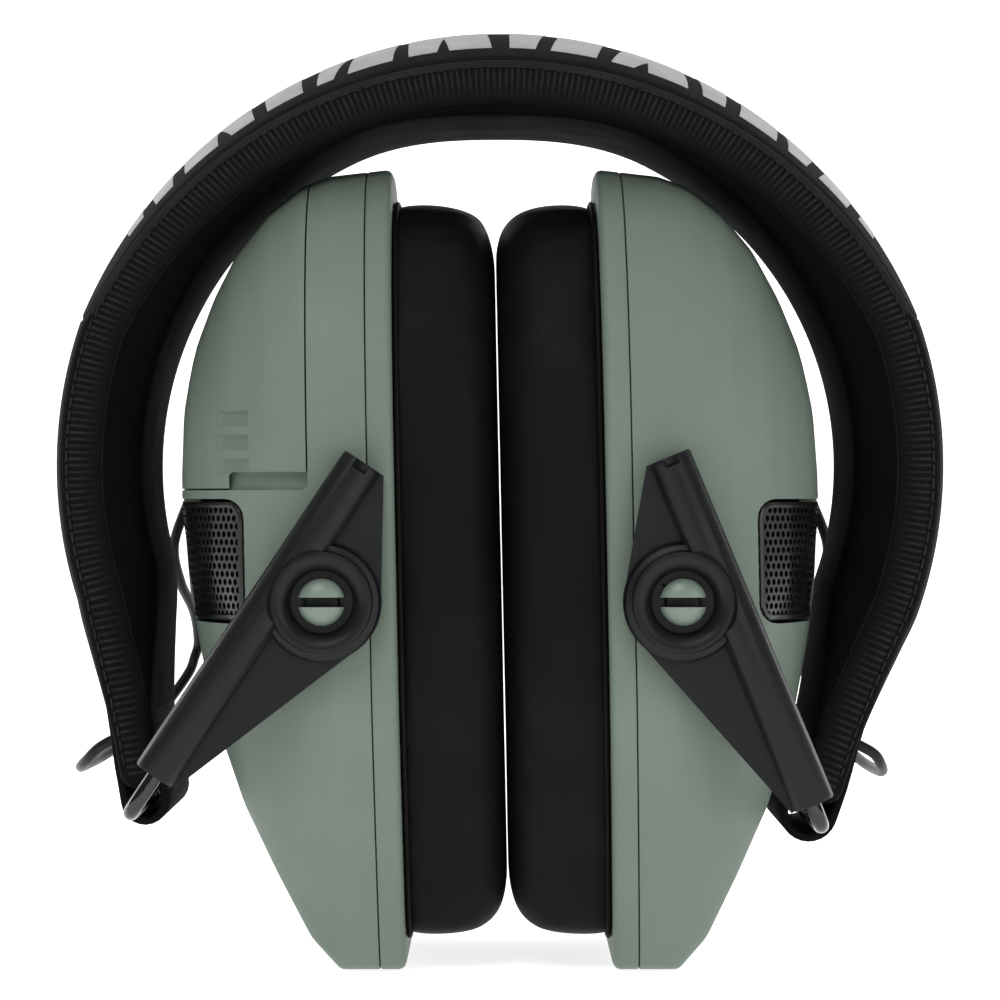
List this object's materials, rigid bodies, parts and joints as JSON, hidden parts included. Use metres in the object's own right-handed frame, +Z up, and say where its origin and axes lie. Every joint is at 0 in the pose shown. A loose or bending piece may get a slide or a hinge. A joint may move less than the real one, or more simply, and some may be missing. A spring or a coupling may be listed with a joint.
{
  "type": "earmuff hearing protector",
  "caption": "Folding electronic earmuff: padded headband, wire bails, tilting green cups, soft ear cushions, slotted stud pivots, volume knob and battery door.",
  "frame": {"origin": "on the surface that the cups' flat bottoms stand on, below the middle of the whole part", "axes": "+Z up towards the headband's crown, +X to the viewer's right across both cups, the front with the battery door faces -Y"},
  "size_m": [0.1217, 0.0889, 0.1281],
  "materials": {
    "shell_green": "moulded plastic, sage green, fine matt texture",
    "moulded_black": "moulded black plastic, satin",
    "cushion_skin": "soft black synthetic leather",
    "band_fabric": "black ribbed fabric with a grey printed pattern on top",
    "pad_foam": "dark grey open foam",
    "wire_steel": "bright plated spring wire",
    "spring_steel": "plain steel",
    "contact_brass": "plain brass",
    "board": "green circuit board",
    "grille_metal": "black painted perforated metal",
    "cable": "black flexible jacket, semi gloss",
    "battery": "plain dark jacket"
  },
  "bodies": {
    "crown": {"crown_spring": "spring_steel", "crown_foam": "pad_foam", "crown_cover": "band_fabric"},
    "left_side": {"left_spring": "spring_steel", "left_foam": "pad_foam", "left_cover": "band_fabric", "left_end_loop": "band_fabric", "left_lead": "cable"},
    "left_bail": {"left_wire": "wire_steel"},
    "left_arms": {"left_front_arm": "moulded_black", "left_rear_arm": "moulded_black"},
    "left_cup": {"left_shell": "shell_green", "left_rim": "shell_green", "left_cushion": "cushion_skin", "left_mic_grille": "grille_metal", "left_microphone": "contact_brass", "left_speaker_plate": "moulded_black", "left_speaker": "spring_steel", "left_speaker_foam": "pad_foam", "left_front_stud": "shell_green", "left_rear_stud": "shell_green", "left_lead_boot": "cable", "left_battery_1": "battery", "left_battery_2": "battery", "left_battery_spring_1": "spring_steel", "left_battery_spring_2": "spring_steel", "left_battery_contact": "contact_brass", "left_battery_tray": "moulded_black"},
    "right_side": {"right_spring": "spring_steel", "right_foam": "pad_foam", "right_cover": "band_fabric", "right_end_loop": "band_fabric", "right_lead": "cable"},
    "right_bail": {"right_wire": "wire_steel"},
    "right_arms": {"right_front_arm": "moulded_black", "right_rear_arm": "moulded_black"},
    "right_cup": {"right_shell": "shell_green", "right_rim": "shell_green", "right_cushion": "cushion_skin", "right_mic_grille": "grille_metal", "right_microphone": "contact_brass", "right_speaker_plate": "moulded_black", "right_speaker": "spring_steel", "right_speaker_foam": "pad_foam", "right_front_stud": "shell_green", "right_rear_stud": "shell_green", "right_lead_boot": "cable", "right_volume_control": "spring_steel", "right_circuit_board": "board", "right_audio_jack": "moulded_black"},
    "battery_door": {"left_battery_door": "shell_green"},
    "volume_knob": {"right_volume_knob": "moulded_black"}
  },
  "joints": [
    {"name": "left_flex", "type": "hinge", "parent": "crown", "child": "left_side", "pos_m": [-0.02303, 0, 0.1238], "axis": [0, 1, 0], "range_deg": [0, 43]},
    {"name": "left_fold", "type": "hinge", "parent": "left_side", "child": "left_bail", "pos_m": [-0.04754, 0, 0.0222], "axis": [0, 1, 0], "range_deg": [0, 81.3], "deforming": ["left_lead"]},
    {"name": "left_slide", "type": "slide", "parent": "left_bail", "child": "left_arms", "axis": [0.5548, 0, 0.832], "range_m": [0, 0.02]},
    {"name": "left_tilt", "type": "hinge", "parent": "left_arms", "child": "left_cup", "pos_m": [-0.0229, 0, 0.0494], "axis": [0, -1, 0], "range_deg": [0, 124.3]},
    {"name": "right_flex", "type": "hinge", "parent": "crown", "child": "right_side", "pos_m": [0.02303, 0, 0.1238], "axis": [0, -1, 0], "range_deg": [0, 43]},
    {"name": "right_fold", "type": "hinge", "parent": "right_side", "child": "right_bail", "pos_m": [0.04136, 0, 0.02055], "axis": [0, -1, 0], "range_deg": [0, 92.4], "deforming": ["right_lead"]},
    {"name": "right_slide", "type": "slide", "parent": "right_bail", "child": "right_arms", "axis": [-0.3843, 0, 0.9232], "range_m": [0, 0.023]},
    {"name": "right_tilt", "type": "hinge", "parent": "right_arms", "child": "right_cup", "pos_m": [0.0235, 0, 0.0494], "axis": [0, 1, 0], "range_deg": [0, 135.4]},
    {"name": "battery_door_slide", "type": "slide", "parent": "left_cup", "child": "battery_door", "axis": [0, 0, 1], "range_m": [0, 0.001]},
    {"name": "volume_turn", "type": "hinge", "parent": "right_cup", "child": "volume_knob", "pos_m": [0.0376, 0.0235, 0.084], "axis": [0.8583, 0.4418, 0.2611], "range_deg": [0, 300]}
  ],
  "couplings": [
    {"joint": "left_flex", "follows": "left_fold", "ratio": 0.5289},
    {"joint": "left_slide", "follows": "left_fold", "m_per_rad": 0.01409},
    {"joint": "left_tilt", "follows": "left_fold", "ratio": 1.5289},
    {"joint": "right_flex", "follows": "right_fold", "ratio": 0.4653},
    {"joint": "right_slide", "follows": "right_fold", "m_per_rad": 0.01426},
    {"joint": "right_tilt", "follows": "right_fold", "ratio": 1.4653}
  ]
}
